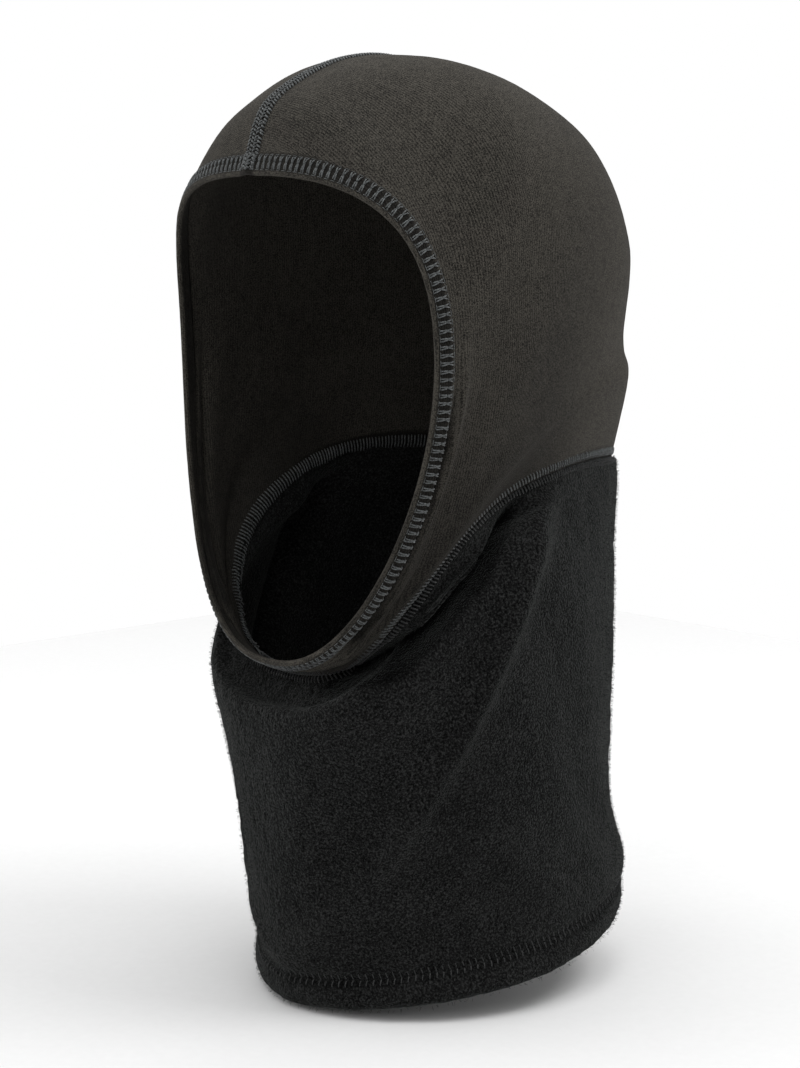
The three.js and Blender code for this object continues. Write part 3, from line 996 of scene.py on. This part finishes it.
def face_cover():
    """The ladder of the face hem: four short legs for each stitch."""
    s = spaced_starts(face_line, FACE_PITCH)
    s = s + jitter(len(s), 0.08)
    p = FACE_PITCH
    legs = [
        (s - 0.03 * p, FACE_MIDDLE - 0.1, s - 0.27 * p, FACE_HEM - 0.1),
        (s + 0.03 * p, FACE_MIDDLE - 0.1, s + 0.19 * p, FACE_HEM - 0.2),
        (s - 0.06 * p, FACE_MIDDLE + 0.3, s - 0.28 * p, FACE_LIP + 0.1),
        (s + 0.10 * p, FACE_MIDDLE + 0.2, s + 0.06 * p, FACE_LIP + 0.2),
    ]
    runs = [
        stitch_runs(face_line, pairs(a, b + jitter(len(s), 0.1)), pairs(c, d + jitter(len(s), 0.1)), 0.45)
        for a, b, c, d in legs
    ]
    return np.concatenate(runs)


def face_chain(across, length, lift):
    """A row of straight stitches round the face hem."""
    s = spaced_starts(face_line, FACE_PITCH)
    return stitch_runs(face_line, pairs(s - length / 2, across), pairs(s + length / 2, across), lift)


cover = threads("face_cover_stitches", face_cover(), HEAVY_THREAD, hood_thread)
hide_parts("face_thread_cover")
outer_runs = face_chain(FACE_HEM + 0.1, 2.5, 0.25)
outer = threads("face_outer_stitches", outer_runs, FINE_THREAD, hood_thread)
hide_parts("face_thread_outer_line")
inner_runs = face_chain(FACE_LIP - 0.1, 2.2, 0.2)
inner = threads("face_inner_stitches", inner_runs, FINE_THREAD, hood_thread)
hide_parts("face_thread_inner_line")

# ---- crown seam: columns of short slanted bars, outside and inside
CROWN_PITCH = 1.5
BAR_HALF = (0.55, 0.95)  # half of a bar along the seam and across it
BAR_JITTER = 0.12
CROWN_COLUMNS = ((-2.8, 1), (-0.95, -1), (0.95, 1), (2.8, -1))
PLAIN_COLUMNS = ((-1.3, 1), (1.3, -1))
crown_line = CentreSeam(BACK, FACE, NECK_SEAM)


def braid(seam, start, end, depth, lift, columns=PLAIN_COLUMNS):
    """Herringbone columns, each given by its distance from the seam and the way its bars slant."""
    s = np.arange(start, end, CROWN_PITCH)
    runs = []
    for column, way in columns:
        at = s + jitter(len(s), BAR_JITTER) + (0.5 * CROWN_PITCH if way < 0 else 0)
        near = pairs(at - way * BAR_HALF[0], column - BAR_HALF[1] + jitter(len(s), BAR_JITTER))
        far = pairs(at + way * BAR_HALF[0], column + BAR_HALF[1] + jitter(len(s), BAR_JITTER))
        runs.append(stitch_runs(seam, near, far, lift, depth))
    return np.concatenate(runs)


crown_runs = braid(crown_line, FACE_LIP, crown_line.length - 4, 0.0, 0.7, CROWN_COLUMNS)
crown = threads("crown_seam_stitches", crown_runs, CROWN_THREAD, hood_thread)
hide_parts("crown_seam_thread")
inner_runs = braid(crown_line, FACE_HEM + 1, crown_line.length - 4, KNIT, -0.5)
crown_inside = threads("crown_seam_inner_stitches", inner_runs, HEAVY_THREAD, hood_thread)
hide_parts("crown_seam_inner_thread")

# ---- chin seam, inside
chin_line = CentreSeam(FRONT, FACE, NECK_SEAM)
chin_start = min(FACE_HEM, chin_line.length - 4)
chin_runs = braid(chin_line, chin_start, chin_line.length - 1, KNIT, -0.5)
chin = threads("chin_seam_stitches", chin_runs, HEAVY_THREAD, hood_thread)
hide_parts("chin_seam_thread")

# ---- neck seam: a bright row of slanted bars on the knit, and one sunk in the fleece, drawn dim in the darker neck thread as painted shade
NECK_PITCH = 1.6


def bar_row(seam, pitch, near, far, slant, lift, depth=0.0):
    """A row of slanted bars from near to far across a seam."""
    s = spaced_starts(seam, pitch)
    s = s + jitter(len(s), 0.07)
    a = pairs(s - slant / 2, near + jitter(len(s), BAR_JITTER))
    b = pairs(s + slant / 2, far + jitter(len(s), BAR_JITTER))
    return stitch_runs(seam, a, b, lift, depth)


def painted_jaw_shadow(seam, pitch):
    """How much darker each stitch of a row is, as painted shadow: the seam lies deep in the fold under the
    chin.
    """
    turn = np.degrees(np.abs(np.interp(spaced_starts(seam, pitch), seam.along, seam.angles)))
    return 1 - ramp_between(turn, 30, 50)


# painted shadow on the neck seam's two outer rows beside the chin
painted_neck_shadow = painted_jaw_shadow(neck_line, NECK_PITCH)
upper_runs = bar_row(neck_line, NECK_PITCH, -4.2, -0.5, 1.1, 0.55)
upper = threads("neck_seam_upper_stitches", upper_runs, NECK_THREAD, hood_thread, painted_neck_shadow)
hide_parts("neck_seam_thread_upper")
# the lower row is the same thread as the upper, painted dim with the darker neck thread where it sinks into
# the fleece
lower_runs = bar_row(neck_line, NECK_PITCH, 0.2, 3.2, 1.0, 0.5)
lower = threads("neck_seam_lower_stitches", lower_runs, HEAVY_THREAD, neck_thread, painted_neck_shadow)
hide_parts("neck_seam_thread_lower")
inside_runs = bar_row(neck_line, NECK_PITCH, -2.5, 2.5, 1.0, -0.5, FLEECE)
inside = threads("neck_seam_inner_stitches", inside_runs, HEAVY_THREAD, hood_thread)
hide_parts("neck_seam_inner_thread")

# ---- centre seams of the neck, inside
for place, angle in (("front", FRONT), ("back", BACK)):
    seam = CentreSeam(angle, NECK_SEAM, BOTTOM)
    runs = braid(seam, 7, seam.length - BOTTOM_HEM - 2, FLEECE + 0.2, -0.5)
    piece = threads(f"neck_{place}_seam_stitches", runs, HEAVY_THREAD, neck_thread)
    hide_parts(f"neck_{place}_seam_thread")

# ---- bottom hem: two rows that hold the turned-up edge
HEM_PITCH = 2.9
for row, near, far, slant in (("upper", 2.6, 0.1, 0.5), ("lower", -0.1, -2.6, -0.5)):
    runs = bar_row(bottom_line, HEM_PITCH, -HEM_STITCH - near, -HEM_STITCH - far, slant, 0.6)
    piece = threads(f"bottom_hem_{row}_stitches", runs, HEM_THREAD, neck_thread)
    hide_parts(f"bottom_hem_thread_{row}")


# ---- care label: a blank tape that hangs inside the nape from its own line of stitches
LABEL_WIDTH = 36.0
LABEL_LENGTH = 28.0
LABEL_TOP = 5.0  # below the neck seam
LABEL_MARGIN = 2.0  # from the tape's edges to its stitches
LABEL_PITCH = 2.2
LABEL_STITCH = 1.7
nape_line = CentreSeam(BACK, NECK_SEAM, BOTTOM)


def make_label():
    """The tape, a little curled at its free end."""
    along = np.linspace(0, LABEL_LENGTH, 40)
    across = np.linspace(-LABEL_WIDTH / 2, LABEL_WIDTH / 2, 50)
    s, w = np.meshgrid(along, across, indexing="ij")
    curl = 1.2 * (s / LABEL_LENGTH) ** 2 * (0.4 + (2 * w / LABEL_WIDTH) ** 2)
    depth = FLEECE + 1.6 + curl + 0.08 * np.sin(w * 0.9)
    outside = nape_line.point(LABEL_TOP + s, w, depth)
    inside = nape_line.point(LABEL_TOP + s, w, depth + LABEL_THICKNESS)
    return closed_sheet("care_label_tape", outside, inside, label)


tape = make_label()
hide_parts("care_label")
across = np.arange(-LABEL_WIDTH / 2 + LABEL_MARGIN, LABEL_WIDTH / 2 - LABEL_MARGIN, LABEL_PITCH)
down = np.full(across.size, LABEL_TOP + LABEL_MARGIN)
label_runs = stitch_runs(
    nape_line, pairs(down, across), pairs(down, across + LABEL_STITCH), -0.3, FLEECE + 2.1
)
label_stitch = threads("care_label_stitches", label_runs, FINE_THREAD, neck_thread)
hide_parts("care_label_stitch")

# ---- floor, light and camera
low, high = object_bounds()
FLOOR_SIZE = 1.5  # metres
ROOM_LIGHT = 0.42


def make_floor():
    """White paper under the part."""
    bpy.ops.mesh.primitive_plane_add(size=FLOOR_SIZE, location=(0, 0, low.z))
    floor = bpy.context.object
    floor.name = "floor"
    paper = Nodes("floor_paper")
    place = paper.position()
    grain = paper.noise(place, 300, 2.0)
    tone = paper.ramp(grain, [(0.0, grey(0.84)), (1.0, grey(0.88))])
    paper.finish(tone, paper.bump(grain, 0.05, 0.0002), 0.9)
    floor.data.materials.append(paper.material)


def make_room():
    """A white room that is brighter to the camera than it lights the cloth."""
    world = bpy.data.worlds.new("studio")
    bpy.context.scene.world = world
    world.use_nodes = True
    tree = world.node_tree
    lit = tree.nodes["Background"]
    seen = tree.nodes.new("ShaderNodeBackground")
    for background, strength in ((lit, ROOM_LIGHT), (seen, 1.0)):
        background.inputs["Color"].default_value = (1, 1, 1, 1)
        background.inputs["Strength"].default_value = strength
    rays = tree.nodes.new("ShaderNodeLightPath")
    either = tree.nodes.new("ShaderNodeMixShader")
    tree.links.new(rays.outputs["Is Camera Ray"], either.inputs[0])
    tree.links.new(lit.outputs[0], either.inputs[1])
    tree.links.new(seen.outputs[0], either.inputs[2])
    tree.links.new(either.outputs[0], tree.nodes["World Output"].inputs["Surface"])


def add_light(name, toward, aside, up, size, watts):
    """A square lamp that faces the part."""
    place = CAMERA_TARGET + to_camera * toward + right * aside + above * up
    data = bpy.data.lights.new(name, "AREA")
    data.size = size
    data.energy = watts
    lamp = bpy.data.objects.new(name, data)
    lamp.location = place
    lamp.rotation_mode = "QUATERNION"
    lamp.rotation_quaternion = (CAMERA_TARGET - place).to_track_quat("-Z", "Y")
    bpy.context.scene.collection.objects.link(lamp)


make_floor()
make_room()
bpy.context.scene.view_settings.view_transform = "Standard"

CAMERA_AZIMUTH = math.radians(47.3)
CAMERA_ELEVATION = math.radians(7.8)
CAMERA_DISTANCE = 893.5 * MM
CAMERA_TARGET = Vector((-2.7 * MM, 11.6 * MM, -191.2 * MM))
CAMERA_LENS = 72.65
to_camera = Vector(
    (
        math.sin(CAMERA_AZIMUTH) * math.cos(CAMERA_ELEVATION),
        -math.cos(CAMERA_AZIMUTH) * math.cos(CAMERA_ELEVATION),
        math.sin(CAMERA_ELEVATION),
    )
)
right = Vector((math.cos(CAMERA_AZIMUTH), math.sin(CAMERA_AZIMUTH), 0))
above = Vector((0, 0, 1))
# name, metres from the target toward the camera, to its right and up, size in metres and watts
LIGHTS = [
    ("top", 0.0, 0.0, 2.2, 3.0, 43),
    ("key", 0.3, 1.2, 1.6, 0.8, 13),
    ("rim", -0.7, 1.3, 1.3, 1.0, 2.5),
    ("side", -0.3, -1.6, 0.2, 1.2, 8),
    ("fill", 1.3, -0.8, 0.9, 1.4, 5),
]
for light in LIGHTS:
    add_light(*light)

camera_data = bpy.data.cameras.new("camera")
camera_data.sensor_width = 36
camera_data.lens = CAMERA_LENS
camera = bpy.data.objects.new("camera", camera_data)
camera.location = CAMERA_TARGET + to_camera * CAMERA_DISTANCE
camera.rotation_mode = "QUATERNION"
camera.rotation_quaternion = (-to_camera).to_track_quat("-Z", "Y")
bpy.context.scene.collection.objects.link(camera)
bpy.context.scene.camera = camera
